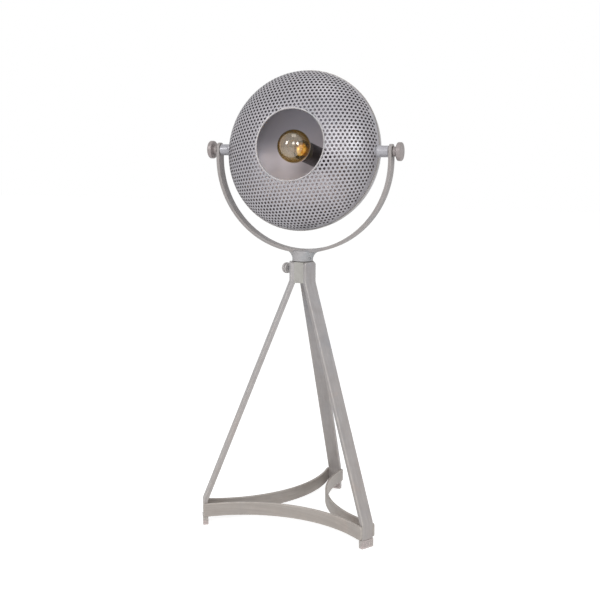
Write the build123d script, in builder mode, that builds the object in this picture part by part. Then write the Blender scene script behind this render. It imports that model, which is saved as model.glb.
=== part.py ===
from build123d import *
import os
from math import cos, radians, sin, sqrt, tan

# A searchlight table lamp: a round head with a perforated front, tilting in a U-shaped yoke that
# swivels on a three-legged stand. Millimetres. The origin is on the table under the swivel axis,
# the front is -Y, +Z is up and the tilt axis lies along X.

# Stand: three flat-bar legs round a hub, joined near the floor by three curved stretchers.
LEG_ANGLES = {"rear": 90, "front_left": 210, "front_right": 330}
STRETCHER_ANGLES = {"front": 270, "left": 150, "right": 30}
HALF_LEG_SPACING = 60
LEG_WIDTH = 19
LEG_THICKNESS = 6
HUB_BOTTOM = 344
HUB_TOP = 373
HUB_LEG_APOTHEM = 11.5
HUB_FACE_APOTHEM = 15
LEG_TOP_BEND_Z = 345
LEG_FOOT_BEND_Z = 34
FOOT_RADIUS = 142
LEG_BEND_RADIUS = 9
LEG_CORNER_RADIUS = 3.5
STRETCHER_BOTTOM = 12.5
STRETCHER_HEIGHT = 19
STRETCHER_THICKNESS = 3.2
STRETCHER_APEX = 38
STRETCHER_TAIL = 8
STRETCHER_CORNER_RADIUS = 3
CAP_WALL = 0.8
CAP_HEIGHT = 11.5
CAP_FLOOR = 2
CAP_CORNER_RADIUS = 1.2

# Swivel: the yoke's spigot turns in a bush in the hub and is held by a pad behind a thumbscrew.
BUSH_RADIUS = 9
BUSH_BORE = 6.06
SPIGOT_RADIUS = 6
SPIGOT_BOTTOM = 346
SPIGOT_TOP = 385.2
GROOVE_RADIUS = 5.2
GROOVE_HEIGHT = 8
SCREW_ANGLE = 150
SCREW_Z = 360
SCREW_RADIUS = 3
SCREW_HOLE = 3.06
PAD_RADIUS = 2.4
PAD_HOLE = 2.46
PAD_START = 5.3
PAD_END = 9
SCREW_END = 36
THUMB_START = 30.5
THUMB_FLANGE_RADIUS = 7
THUMB_FLANGE_LENGTH = 3
THUMB_GROOVE_RADIUS = 5.8
THUMB_GROOVE_LENGTH = 1
THUMB_HEAD_RADIUS = 7.7
THUMB_HEAD_LENGTH = 3.8
THUMB_ROUNDING = 0.8
SWIVEL_WASHER_RADIUS = 13
SWIVEL_WASHER_BORE = 6.1
SWIVEL_WASHER_THICKNESS = 1

# Yoke: a flat bar rolled into a half circle with two short straight arms.
YOKE_WIDTH = 16
YOKE_THICKNESS = 4.5
YOKE_RADIUS = 128
YOKE_CENTRE_Z = 513.3
YOKE_ARM_TOP = 535
YOKE_END_RADIUS = 7.8
YOKE_HOLE = 3.4
COLLAR_RADIUS = 14.5
COLLAR_TOP = 389
COLLAR_ROUNDING = 2.5
GRUB_ANGLE = -22
GRUB_Z = 379.5
GRUB_RADIUS = 2
GRUB_START = 6.05
GRUB_END = 14.1
GRUB_SLOT_WIDTH = 0.6
GRUB_SLOT_DEPTH = 0.8

# Head: two pressed half shells of elliptical section that meet at a rim band.
TRUNNION_Z = 525
HEAD_TILT = 10.5
RIM_RADIUS = 110
RIM_THICKNESS = 2.4
RIM_HALF_WIDTH = 1.5
SHELL_RADIUS = 109.2
SHELL_THICKNESS = 1
FRONT_DEPTH = 54.6
REAR_DEPTH = 76
OPENING_RADIUS = 49.5
LIP_WIDTH = 2.1
LIP_BACK = 47.2
LIP_FRONT = 49.8
LIP_ROUNDING = 0.9
REAR_HOLE = 5.1

# Trunnions: a flared boss on each side of the head, clamped to the yoke arm by a knob.
BOSS_RADIUS = 7.75
BOSS_FLARE = 6
BOSS_FLARE_END = 112.5
BOSS_INNER_END = 103
BOSS_BORE = 3.06
FRICTION_WASHER_RADIUS = 7.5
FRICTION_WASHER_BORE = 3.2
FRICTION_WASHER_THICKNESS = 0.8
STUD_RADIUS = 3
STUD_INNER_END = 112
STUD_OUTER_END = 137
KNOB_WASHER_RADIUS = 6.2
KNOB_WASHER_BORE = 3.2
KNOB_WASHER_THICKNESS = 1.2
KNOB_NECK_RADIUS = 6.7
KNOB_RADIUS = 12.4
KNOB_DISC_START = 134.3
KNOB_OUTER_END = 140.6
KNOB_ROUNDING = 1.6

# Lamp holder, along the head's own axis: zero is the tilt axis, positive is towards the front.
HOLDER_RADIUS = 14.5
HOLDER_WALL = 1.4
HOLDER_BACK = -74.2
HOLDER_FRONT = -2
INSERT_RADIUS = 13
INSERT_BACK = -32
INSERT_FLOOR = -28
INSERT_FRONT = -4
SOCKET_RADIUS = 7.5
SOCKET_BORE = 7.05
SOCKET_BACK = -26
SOCKET_FRONT = -5
CONTACT_RADIUS = 2
CONTACT_HOLE = 2.06
CONTACT_HEAD_RADIUS = 3.2
CONTACT_HEAD_LENGTH = 2
CONTACT_BACK = -34
TERMINAL_INNER = 3
TERMINAL_OUTER = 10
TERMINAL_WIDTH = 6
TERMINAL_BACK = -42
NIPPLE_RADIUS = 5
NIPPLE_BORE = 3.75
NIPPLE_BACK = -84
NIPPLE_FRONT = -66
NUT_FLATS = 14
NUT_THICKNESS = 3.6
OUTER_NUT_FRONT = -76.1
GLAND_RADIUS = 7.5
GLAND_BACK = -92
GLAND_BORE = 3.5
GLAND_ROUNDING = 1.5

# Bulb: a 45 mm globe on a 14 mm screw cap.
GLOBE_RADIUS = 22.5
GLOBE_CENTRE = 34
NECK_RADIUS = 8.75
NECK_BLEND = 12
GLASS_WALL = 0.8
CAP_SCREW_RADIUS = 6.95
CAP_SHEET = 0.4
CAP_BACK = -20
CAP_SKIRT = -3
INSULATOR_RADIUS = 4
INSULATOR_BACK = -22.5
TIP_RADIUS = 2.4
TIP_BACK = -24
STEM_FLARE_BASE = 1
STEM_FLARE_TOP = 4
STEM_RADIUS = 2.5
STEM_TOP = 18
FILAMENT_RADIUS = 7
FILAMENT_TOP = 38
FILAMENT_WIRE = 0.4
FILAMENT_SUPPORTS = 3
FILAMENT_FOOT_GAP = 0.15

TILT = radians(HEAD_TILT)
FORWARD = Vector(0, -cos(TILT), sin(TILT))
TRUNNION = Vector(0, 0, TRUNNION_Z)
HEAD_AXIS = Axis(TRUNNION, FORWARD)
TRUNNION_AXIS = Axis(TRUNNION, (1, 0, 0))
# Local x is the distance from the head's axis and local y the place along it.
HEAD_PLANE = Plane(origin=TRUNNION, x_dir=(1, 0, 0), z_dir=(0, -sin(TILT), -cos(TILT)))
# Local x runs along the tilt axis and local y straight up from it.
TRUNNION_PLANE = Plane(origin=TRUNNION, x_dir=(1, 0, 0), z_dir=(0, -1, 0))
# Longer than any piece, for cuts that run right through.
BOX_LIMIT = 300


def save(piece, name):
    piece.part.label = name
    export_step(piece.part, f"parts/{name}.step")


def radial_plane(angle):
    """A standing plane through the Z axis: local x points outwards at the angle, local y is up."""
    outwards = (cos(radians(angle)), sin(radians(angle)), 0)
    sideways = (sin(radians(angle)), -cos(radians(angle)), 0)
    return Plane(origin=(0, 0, 0), x_dir=outwards, z_dir=sideways)


def radial_axis(angle, height):
    return Axis((0, 0, height), (cos(radians(angle)), sin(radians(angle)), 0))


def outward_plane(angle, height, radius=0):
    """A plane that faces outwards at the angle, at a distance from the swivel axis."""
    outwards = radial_plane(angle).x_dir
    return Plane(origin=outwards * radius + Vector(0, 0, height), z_dir=outwards)


def head_section_plane(place):
    """A plane across the head's axis, facing forwards."""
    return Plane(origin=TRUNNION + FORWARD * place, x_dir=(1, 0, 0), z_dir=FORWARD)


def save_head_ring(name, inner, outer, back, front):
    """A plain ring or disc about the head's axis."""
    with BuildPart() as ring:
        with BuildSketch(HEAD_PLANE):
            with Locations((inner, back)):
                Rectangle(outer - inner, front - back, align=(Align.MIN, Align.MIN))
        revolve(axis=HEAD_AXIS)
    save(ring, name)


def save_trunnion_ring(name, inner, outer, start, end, side):
    """A washer about the tilt axis, on the side given as +1 or -1."""
    with BuildPart() as washer:
        with BuildSketch(TRUNNION_PLANE):
            with Locations((side * (start + end) / 2, (inner + outer) / 2)):
                Rectangle(end - start, outer - inner)
        revolve(axis=TRUNNION_AXIS)
    save(washer, name)


os.makedirs("parts", exist_ok=True)

# Legs. The bar's middle line is upright at the hub, slopes out, and is upright again at the foot.
hub_radius = HUB_LEG_APOTHEM + LEG_THICKNESS / 2
foot_radius = FOOT_RADIUS - LEG_THICKNESS / 2
slope = (foot_radius - hub_radius) / (LEG_TOP_BEND_Z - LEG_FOOT_BEND_Z)
bend_angle = Vector(slope, 1).get_angle(Vector(0, 1))
bend_rise = LEG_THICKNESS / 2 * tan(radians(bend_angle) / 2)
for leg_name, leg_angle in LEG_ANGLES.items():
    with BuildPart() as leg:
        with BuildSketch(radial_plane(leg_angle)) as leg_profile:
            with BuildLine():
                Polyline(
                    (HUB_LEG_APOTHEM, HUB_TOP),
                    (HUB_LEG_APOTHEM + LEG_THICKNESS, HUB_TOP),
                    (HUB_LEG_APOTHEM + LEG_THICKNESS, LEG_TOP_BEND_Z + bend_rise),
                    (FOOT_RADIUS, LEG_FOOT_BEND_Z + bend_rise),
                    (FOOT_RADIUS, CAP_FLOOR),
                    (FOOT_RADIUS - LEG_THICKNESS, CAP_FLOOR),
                    (FOOT_RADIUS - LEG_THICKNESS, LEG_FOOT_BEND_Z - bend_rise),
                    (HUB_LEG_APOTHEM, LEG_TOP_BEND_Z - bend_rise),
                    close=True,
                )
            make_face()
            bends = leg_profile.vertices().filter_by(lambda corner: CAP_FLOOR < corner.Y < HUB_TOP)
            fillet(bends, radius=LEG_BEND_RADIUS)
        extrude(amount=LEG_WIDTH / 2, both=True)
        top_corners = leg.edges().filter_by(radial_axis(leg_angle, 0)).group_by(Axis.Z)[-1]
        fillet(top_corners, radius=LEG_CORNER_RADIUS)
    save(leg, f"leg_{leg_name}")

# Stretchers. Local y points away from the stand's axis. Each end lies on a leg's side edge.
leg_outwards = Vector(sin(radians(HALF_LEG_SPACING)), cos(radians(HALF_LEG_SPACING)))
leg_sideways = Vector(-leg_outwards.Y, leg_outwards.X)
near_side = leg_sideways * (LEG_WIDTH / 2)
far_side = leg_sideways * (LEG_WIDTH / 2 + STRETCHER_THICKNESS)
tail_start = leg_outwards * (FOOT_RADIUS - STRETCHER_TAIL)
tail_end = leg_outwards * FOOT_RADIUS
half_thickness = STRETCHER_THICKNESS / 2
for stretcher_name, stretcher_angle in STRETCHER_ANGLES.items():
    crosswise = radians(stretcher_angle - 90)
    with BuildPart() as stretcher:
        with BuildSketch(
            Plane(origin=(0, 0, STRETCHER_BOTTOM), x_dir=(cos(crosswise), sin(crosswise), 0))
        ):
            with BuildLine():
                outer_end = tail_start + far_side
                inner_end = tail_start + near_side
                ThreePointArc(
                    (-outer_end.X, outer_end.Y),
                    (0, STRETCHER_APEX + half_thickness),
                    (outer_end.X, outer_end.Y),
                )
                ThreePointArc(
                    (-inner_end.X, inner_end.Y),
                    (0, STRETCHER_APEX - half_thickness),
                    (inner_end.X, inner_end.Y),
                )
                for side in (-1, 1):
                    Polyline(
                        (side * outer_end.X, outer_end.Y),
                        (side * (tail_end + far_side).X, (tail_end + far_side).Y),
                        (side * (tail_end + near_side).X, (tail_end + near_side).Y),
                        (side * inner_end.X, inner_end.Y),
                    )
            make_face()
        extrude(amount=STRETCHER_HEIGHT)
        end_corners = stretcher.edges().filter_by(
            lambda edge: abs(edge.length - STRETCHER_THICKNESS) < half_thickness
        )
        fillet(end_corners, radius=STRETCHER_CORNER_RADIUS)
    save(stretcher, f"stretcher_{stretcher_name}")

# Foot caps, slipped over the ends of the legs.
for leg_name, leg_angle in LEG_ANGLES.items():
    outwards = radial_plane(leg_angle).x_dir
    cap_plane = Plane(origin=outwards * foot_radius, x_dir=outwards, z_dir=(0, 0, 1))
    with BuildPart() as foot_cap:
        with BuildSketch(cap_plane):
            RectangleRounded(
                LEG_THICKNESS + 2 * CAP_WALL, LEG_WIDTH + 2 * CAP_WALL, CAP_CORNER_RADIUS
            )
        extrude(amount=CAP_HEIGHT)
        with BuildSketch(cap_plane.offset(CAP_FLOOR)):
            Rectangle(LEG_THICKNESS, LEG_WIDTH)
        extrude(amount=CAP_HEIGHT, mode=Mode.SUBTRACT)
    save(foot_cap, f"foot_cap_{leg_name}")

# Hub core: a three-sided block with a flat pocket for each leg and a bore for the bush.
with BuildPart() as hub_core:
    with BuildSketch(Plane.XY.offset(HUB_BOTTOM)):
        RegularPolygon(HUB_FACE_APOTHEM, 3, major_radius=False, rotation=-90 + HALF_LEG_SPACING)
        for leg_angle in LEG_ANGLES.values():
            with PolarLocations(HUB_LEG_APOTHEM, 1, start_angle=leg_angle):
                Rectangle(BOX_LIMIT, LEG_WIDTH, align=(Align.MIN, Align.CENTER), mode=Mode.SUBTRACT)
        Circle(BUSH_RADIUS, mode=Mode.SUBTRACT)
    extrude(amount=HUB_TOP - HUB_BOTTOM)
    with BuildSketch(outward_plane(SCREW_ANGLE, SCREW_Z)):
        Circle(SCREW_HOLE)
    extrude(amount=BOX_LIMIT, mode=Mode.SUBTRACT)
save(hub_core, "hub_core")

with BuildPart() as hub_bush:
    with BuildSketch(Plane.XY.offset(HUB_BOTTOM)):
        Circle(BUSH_RADIUS)
        Circle(BUSH_BORE, mode=Mode.SUBTRACT)
    extrude(amount=HUB_TOP - HUB_BOTTOM)
    with BuildSketch(outward_plane(SCREW_ANGLE, SCREW_Z)):
        Circle(PAD_HOLE)
    extrude(amount=BOX_LIMIT, mode=Mode.SUBTRACT)
save(hub_bush, "hub_bush")

# Thumbscrew and the pad that it presses into the spigot's groove. Local x is the distance from
# the swivel axis, local y the distance from the screw's own axis.
screw_axis = radial_axis(SCREW_ANGLE, SCREW_Z)
screw_plane = radial_plane(SCREW_ANGLE).shift_origin((0, 0, SCREW_Z))
with BuildPart() as clamp_pad:
    with BuildSketch(screw_plane):
        with Locations((PAD_START, 0)):
            Rectangle(PAD_END - PAD_START, PAD_RADIUS, align=Align.MIN)
    revolve(axis=screw_axis)
save(clamp_pad, "clamp_pad")

with BuildPart() as screw_stud:
    with BuildSketch(screw_plane):
        with Locations((PAD_END, 0)):
            Rectangle(SCREW_END - PAD_END, SCREW_RADIUS, align=Align.MIN)
    revolve(axis=screw_axis)
save(screw_stud, "swivel_screw_stud")

flange_end = THUMB_START + THUMB_FLANGE_LENGTH
head_start = flange_end + THUMB_GROOVE_LENGTH
head_end = head_start + THUMB_HEAD_LENGTH
with BuildPart() as screw_knob:
    with BuildSketch(screw_plane) as knob_profile:
        with BuildLine():
            Polyline(
                (THUMB_START, SCREW_RADIUS),
                (THUMB_START, THUMB_FLANGE_RADIUS),
                (flange_end, THUMB_FLANGE_RADIUS),
                (flange_end, THUMB_GROOVE_RADIUS),
                (head_start, THUMB_GROOVE_RADIUS),
                (head_start, THUMB_HEAD_RADIUS),
                (head_end, THUMB_HEAD_RADIUS),
                (head_end, 0),
                (SCREW_END, 0),
                (SCREW_END, SCREW_RADIUS),
                close=True,
            )
        make_face()
        between_radii = (THUMB_GROOVE_RADIUS + THUMB_FLANGE_RADIUS) / 2
        rims = knob_profile.vertices().filter_by(lambda corner: corner.Y > between_radii)
        fillet(rims, radius=THUMB_ROUNDING)
    revolve(axis=screw_axis)
save(screw_knob, "swivel_screw_knob")

# Yoke strap: its outline seen from the front, as wide as the flat bar from front to back.
arm_middle = YOKE_RADIUS - YOKE_THICKNESS / 2
with BuildPart() as yoke_strap:
    with BuildSketch(Plane.XZ):
        with Locations((0, YOKE_CENTRE_Z)):
            Circle(YOKE_RADIUS)
            Circle(YOKE_RADIUS - YOKE_THICKNESS, mode=Mode.SUBTRACT)
            Rectangle(
                BOX_LIMIT, BOX_LIMIT, align=(Align.CENTER, Align.MIN), mode=Mode.SUBTRACT
            )
        with Locations((-arm_middle, YOKE_CENTRE_Z), (arm_middle, YOKE_CENTRE_Z)):
            Rectangle(
                YOKE_THICKNESS, YOKE_ARM_TOP - YOKE_CENTRE_Z, align=(Align.CENTER, Align.MIN)
            )
    extrude(amount=YOKE_WIDTH / 2, both=True)
    arm_corners = yoke_strap.edges().filter_by(Axis.X).group_by(Axis.Z)[-1]
    fillet(arm_corners, radius=YOKE_END_RADIUS)
    with BuildSketch(Plane.YZ):
        with Locations((0, TRUNNION_Z)):
            Circle(YOKE_HOLE)
    extrude(amount=BOX_LIMIT, both=True, mode=Mode.SUBTRACT)
save(yoke_strap, "yoke_strap")

with BuildPart() as yoke_collar:
    collar_bottom = HUB_TOP + SWIVEL_WASHER_THICKNESS
    with BuildSketch(Plane.XY.offset(collar_bottom)):
        Circle(COLLAR_RADIUS)
    extrude(amount=COLLAR_TOP - collar_bottom)
    fillet(yoke_collar.edges().sort_by(Axis.Z)[-1], radius=COLLAR_ROUNDING)
    with BuildSketch(Plane.XY.offset(collar_bottom)):
        Circle(SPIGOT_RADIUS)
    extrude(amount=SPIGOT_TOP - collar_bottom, mode=Mode.SUBTRACT)
    with BuildSketch(outward_plane(GRUB_ANGLE, GRUB_Z)):
        Circle(GRUB_RADIUS)
    extrude(amount=COLLAR_RADIUS, mode=Mode.SUBTRACT)
    add(yoke_strap.part, mode=Mode.SUBTRACT)
save(yoke_collar, "yoke_collar")

with BuildPart() as yoke_spigot:
    with BuildSketch(Plane.XY.offset(SPIGOT_BOTTOM)):
        Circle(SPIGOT_RADIUS)
    extrude(amount=SPIGOT_TOP - SPIGOT_BOTTOM)
    with BuildSketch(Plane.XY.offset(SCREW_Z)):
        Circle(SPIGOT_RADIUS)
        Circle(GROOVE_RADIUS, mode=Mode.SUBTRACT)
    extrude(amount=GROOVE_HEIGHT / 2, both=True, mode=Mode.SUBTRACT)
save(yoke_spigot, "yoke_spigot")

with BuildPart() as grub_screw:
    with BuildSketch(outward_plane(GRUB_ANGLE, GRUB_Z, GRUB_START)):
        Circle(GRUB_RADIUS)
    extrude(amount=GRUB_END - GRUB_START)
    with BuildSketch(outward_plane(GRUB_ANGLE, GRUB_Z, GRUB_END)):
        Rectangle(2 * GRUB_RADIUS, GRUB_SLOT_WIDTH)
    extrude(amount=-GRUB_SLOT_DEPTH, mode=Mode.SUBTRACT)
save(grub_screw, "collar_grub_screw")

with BuildPart() as swivel_washer:
    with BuildSketch(Plane.XY.offset(HUB_TOP)):
        Circle(SWIVEL_WASHER_RADIUS)
        Circle(SWIVEL_WASHER_BORE, mode=Mode.SUBTRACT)
    extrude(amount=SWIVEL_WASHER_THICKNESS)
save(swivel_washer, "swivel_washer")

# Head shells: each is what lies between two ellipses, on its own side of the rim.
with BuildPart() as front_dome:
    with BuildSketch(HEAD_PLANE):
        Ellipse(SHELL_RADIUS, FRONT_DEPTH)
        Ellipse(SHELL_RADIUS - SHELL_THICKNESS, FRONT_DEPTH - SHELL_THICKNESS, mode=Mode.SUBTRACT)
        with Locations((OPENING_RADIUS, RIM_HALF_WIDTH)):
            Rectangle(BOX_LIMIT, BOX_LIMIT, align=Align.MIN, mode=Mode.INTERSECT)
    revolve(axis=HEAD_AXIS)
save(front_dome, "front_dome")

with BuildPart() as rear_bowl:
    with BuildSketch(HEAD_PLANE):
        Ellipse(SHELL_RADIUS, REAR_DEPTH)
        Ellipse(SHELL_RADIUS - SHELL_THICKNESS, REAR_DEPTH - SHELL_THICKNESS, mode=Mode.SUBTRACT)
        with Locations((REAR_HOLE, -RIM_HALF_WIDTH)):
            Rectangle(BOX_LIMIT, BOX_LIMIT, align=(Align.MIN, Align.MAX), mode=Mode.INTERSECT)
    revolve(axis=HEAD_AXIS)
save(rear_bowl, "rear_bowl")

save_head_ring("rim_band", RIM_RADIUS - RIM_THICKNESS, RIM_RADIUS, -RIM_HALF_WIDTH, RIM_HALF_WIDTH)

with BuildPart() as aperture_ring:
    with BuildSketch(HEAD_PLANE) as lip_profile:
        with Locations((OPENING_RADIUS, LIP_BACK)):
            Rectangle(LIP_WIDTH, LIP_FRONT - LIP_BACK, align=(Align.MAX, Align.MIN))
        fillet(lip_profile.vertices().group_by(Axis.X)[0], radius=LIP_ROUNDING)
    revolve(axis=HEAD_AXIS)
save(aperture_ring, "aperture_ring")

# Trunnion bosses: the foot of each flare follows the head's outer surface.
for side_name, side in (("left", -1), ("right", 1)):
    boss_end = YOKE_RADIUS - YOKE_THICKNESS - FRICTION_WASHER_THICKNESS
    flare_radius = BOSS_RADIUS + BOSS_FLARE
    flare_start = BOSS_FLARE_END - BOSS_FLARE
    arc_inset = BOSS_FLARE * sin(radians(45))
    with BuildPart() as boss:
        with BuildSketch(TRUNNION_PLANE):
            with BuildLine():
                Polyline(
                    (side * BOSS_FLARE_END, BOSS_RADIUS),
                    (side * boss_end, BOSS_RADIUS),
                    (side * boss_end, BOSS_BORE),
                    (side * BOSS_INNER_END, BOSS_BORE),
                    (side * BOSS_INNER_END, flare_radius),
                    (side * flare_start, flare_radius),
                )
                ThreePointArc(
                    (side * flare_start, flare_radius),
                    (side * (BOSS_FLARE_END - arc_inset), flare_radius - arc_inset),
                    (side * BOSS_FLARE_END, BOSS_RADIUS),
                )
            make_face()
        revolve(axis=TRUNNION_AXIS)
        with BuildSketch(HEAD_PLANE):
            with BuildLine():
                EllipticalCenterArc((0, 0), SHELL_RADIUS, FRONT_DEPTH, 0, arc_size=90)
                EllipticalCenterArc((0, 0), SHELL_RADIUS, REAR_DEPTH, 270, arc_size=90)
                Line((0, -REAR_DEPTH), (0, FRONT_DEPTH))
            make_face()
            Rectangle(RIM_RADIUS, 2 * RIM_HALF_WIDTH, align=(Align.MIN, Align.CENTER))
        revolve(axis=HEAD_AXIS, mode=Mode.SUBTRACT)
    save(boss, f"boss_{side_name}")

    save_trunnion_ring(
        f"friction_washer_{side_name}",
        FRICTION_WASHER_BORE,
        FRICTION_WASHER_RADIUS,
        boss_end,
        YOKE_RADIUS - YOKE_THICKNESS,
        side,
    )
    save_trunnion_ring(
        f"knob_washer_{side_name}",
        KNOB_WASHER_BORE,
        KNOB_WASHER_RADIUS,
        YOKE_RADIUS,
        YOKE_RADIUS + KNOB_WASHER_THICKNESS,
        side,
    )
    save_trunnion_ring(
        f"knob_stud_{side_name}", 0, STUD_RADIUS, STUD_INNER_END, STUD_OUTER_END, side
    )

    with BuildPart() as knob:
        with BuildSketch(TRUNNION_PLANE) as profile:
            with BuildLine():
                Polyline(
                    (side * (YOKE_RADIUS + KNOB_WASHER_THICKNESS), STUD_RADIUS),
                    (side * (YOKE_RADIUS + KNOB_WASHER_THICKNESS), KNOB_NECK_RADIUS),
                    (side * KNOB_DISC_START, KNOB_NECK_RADIUS),
                    (side * KNOB_DISC_START, KNOB_RADIUS),
                    (side * KNOB_OUTER_END, KNOB_RADIUS),
                    (side * KNOB_OUTER_END, 0),
                    (side * STUD_OUTER_END, 0),
                    (side * STUD_OUTER_END, STUD_RADIUS),
                    close=True,
                )
            make_face()
            fillet(profile.vertices().group_by(Axis.Y)[-1], radius=KNOB_ROUNDING)
        revolve(axis=TRUNNION_AXIS)
    save(knob, f"knob_{side_name}")

# Lamp holder: a turned cover on a hollow threaded nipple that passes through the bowl.
with BuildPart() as holder_cover:
    with BuildSketch(HEAD_PLANE):
        with Locations((NIPPLE_RADIUS, HOLDER_BACK)):
            Rectangle(HOLDER_RADIUS - NIPPLE_RADIUS, HOLDER_FRONT - HOLDER_BACK, align=Align.MIN)
        with Locations((0, HOLDER_BACK + HOLDER_WALL)):
            Rectangle(HOLDER_RADIUS - HOLDER_WALL, BOX_LIMIT, align=Align.MIN, mode=Mode.SUBTRACT)
    revolve(axis=HEAD_AXIS)
save(holder_cover, "holder_cover")

with BuildPart() as holder_insert:
    with BuildSketch(HEAD_PLANE):
        with Locations((CONTACT_HOLE, INSERT_BACK)):
            Rectangle(INSERT_RADIUS - CONTACT_HOLE, INSERT_FRONT - INSERT_BACK, align=Align.MIN)
        with Locations((0, INSERT_FLOOR)):
            Rectangle(SOCKET_RADIUS, BOX_LIMIT, align=Align.MIN, mode=Mode.SUBTRACT)
    revolve(axis=HEAD_AXIS)
save(holder_insert, "holder_insert")

save_head_ring("holder_thread_shell", SOCKET_BORE, SOCKET_RADIUS, SOCKET_BACK, SOCKET_FRONT)

with BuildPart() as holder_terminals:
    with BuildSketch(head_section_plane(TERMINAL_BACK)):
        for side in (-1, 1):
            with Locations((side * (TERMINAL_INNER + TERMINAL_OUTER) / 2, 0)):
                Rectangle(TERMINAL_OUTER - TERMINAL_INNER, TERMINAL_WIDTH)
    extrude(amount=INSERT_BACK - TERMINAL_BACK)
save(holder_terminals, "holder_terminals")

with BuildPart() as centre_contact:
    with BuildSketch(HEAD_PLANE):
        with Locations((0, CONTACT_BACK)):
            Rectangle(CONTACT_RADIUS, TIP_BACK - CONTACT_BACK, align=Align.MIN)
        with Locations((0, TIP_BACK)):
            Rectangle(CONTACT_HEAD_RADIUS, CONTACT_HEAD_LENGTH, align=(Align.MIN, Align.MAX))
    revolve(axis=HEAD_AXIS)
save(centre_contact, "centre_contact")

save_head_ring("nipple", NIPPLE_BORE, NIPPLE_RADIUS, NIPPLE_BACK, NIPPLE_FRONT)

nut_backs = {"inner": HOLDER_BACK + HOLDER_WALL, "outer": OUTER_NUT_FRONT - NUT_THICKNESS}
for nut_name, nut_back in nut_backs.items():
    with BuildPart() as nipple_nut:
        with BuildSketch(head_section_plane(nut_back)):
            RegularPolygon(NUT_FLATS / 2, 6, major_radius=False)
            Circle(NIPPLE_RADIUS, mode=Mode.SUBTRACT)
        extrude(amount=NUT_THICKNESS)
    save(nipple_nut, f"nipple_nut_{nut_name}")

with BuildPart() as cable_gland:
    with BuildSketch(HEAD_PLANE) as gland_profile:
        with Locations((GLAND_BORE, GLAND_BACK)):
            Rectangle(
                GLAND_RADIUS - GLAND_BORE, nut_backs["outer"] - GLAND_BACK, align=Align.MIN
            )
        fillet(
            gland_profile.vertices().group_by(Axis.Y)[0].sort_by(Axis.X)[-1], radius=GLAND_ROUNDING
        )
        with Locations((0, NIPPLE_BACK)):
            Rectangle(NIPPLE_RADIUS, BOX_LIMIT, align=Align.MIN, mode=Mode.SUBTRACT)
    revolve(axis=HEAD_AXIS)
save(cable_gland, "cable_gland")

# Bulb: a hollow globe and neck, open at the cap.
with BuildPart() as bulb_glass:
    for globe, neck, blend, mode in (
        (GLOBE_RADIUS, NECK_RADIUS, NECK_BLEND, Mode.ADD),
        (GLOBE_RADIUS - GLASS_WALL, NECK_RADIUS - GLASS_WALL, NECK_BLEND + GLASS_WALL, Mode.SUBTRACT),
    ):
        with BuildSketch(HEAD_PLANE) as glass_profile:
            with Locations((0, GLOBE_CENTRE)):
                Circle(globe)
            Rectangle(neck, GLOBE_CENTRE, align=Align.MIN)
            with Locations((0, GLOBE_CENTRE)):
                Rectangle(
                    GLOBE_RADIUS, BOX_LIMIT, align=(Align.MAX, Align.CENTER), mode=Mode.SUBTRACT
                )
            neck_top = Vector(neck, GLOBE_CENTRE - sqrt(globe**2 - neck**2))
            fillet(glass_profile.vertices().sort_by_distance(neck_top)[0], radius=blend)
        revolve(axis=HEAD_AXIS, mode=mode)
save(bulb_glass, "bulb_glass")

with BuildPart() as bulb_cap:
    with BuildSketch(HEAD_PLANE):
        with BuildLine():
            Polyline(
                (CAP_SCREW_RADIUS - CAP_SHEET, CAP_BACK),
                (CAP_SCREW_RADIUS, CAP_BACK),
                (CAP_SCREW_RADIUS, CAP_SKIRT),
                (NECK_RADIUS, 0),
                (NECK_RADIUS - CAP_SHEET, 0),
                (CAP_SCREW_RADIUS - CAP_SHEET, CAP_SKIRT),
                close=True,
            )
        make_face()
    revolve(axis=HEAD_AXIS)
save(bulb_cap, "bulb_cap")

with BuildPart() as bulb_insulator:
    with BuildSketch(HEAD_PLANE):
        with BuildLine():
            Polyline(
                (0, CAP_BACK),
                (CAP_SCREW_RADIUS, CAP_BACK),
                (INSULATOR_RADIUS, INSULATOR_BACK),
                (0, INSULATOR_BACK),
                close=True,
            )
        make_face()
    revolve(axis=HEAD_AXIS)
save(bulb_insulator, "bulb_insulator")

save_head_ring("bulb_tip", 0, TIP_RADIUS, TIP_BACK, INSULATOR_BACK)

with BuildPart() as bulb_stem:
    with BuildSketch(HEAD_PLANE):
        with BuildLine():
            Polyline(
                (0, 0),
                (NECK_RADIUS - GLASS_WALL, 0),
                (NECK_RADIUS - GLASS_WALL, STEM_FLARE_BASE),
                (STEM_RADIUS, STEM_FLARE_TOP),
                (STEM_RADIUS, STEM_TOP),
                (0, STEM_TOP),
                close=True,
            )
        make_face()
    revolve(axis=HEAD_AXIS)
save(bulb_stem, "bulb_stem")

with BuildPart() as bulb_filament:
    with BuildSketch(HEAD_PLANE):
        with Locations((FILAMENT_RADIUS, FILAMENT_TOP)):
            Circle(FILAMENT_WIRE)
    revolve(axis=HEAD_AXIS)
    stem_end = head_section_plane(STEM_TOP + FILAMENT_FOOT_GAP)
    ring_level = head_section_plane(FILAMENT_TOP)
    for support in range(FILAMENT_SUPPORTS):
        turn = radians(360 / FILAMENT_SUPPORTS * support)
        foot_reach = STEM_RADIUS - FILAMENT_WIRE
        foot = stem_end.from_local_coords((foot_reach * cos(turn), foot_reach * sin(turn), 0))
        top = ring_level.from_local_coords(
            (FILAMENT_RADIUS * cos(turn), FILAMENT_RADIUS * sin(turn), 0)
        )
        with BuildSketch(Plane(origin=foot, z_dir=top - foot)):
            Circle(FILAMENT_WIRE)
        extrude(amount=(top - foot).length)
save(bulb_filament, "bulb_filament")
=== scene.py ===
import math

import bpy
from mathutils import Matrix, Vector, noise


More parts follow.
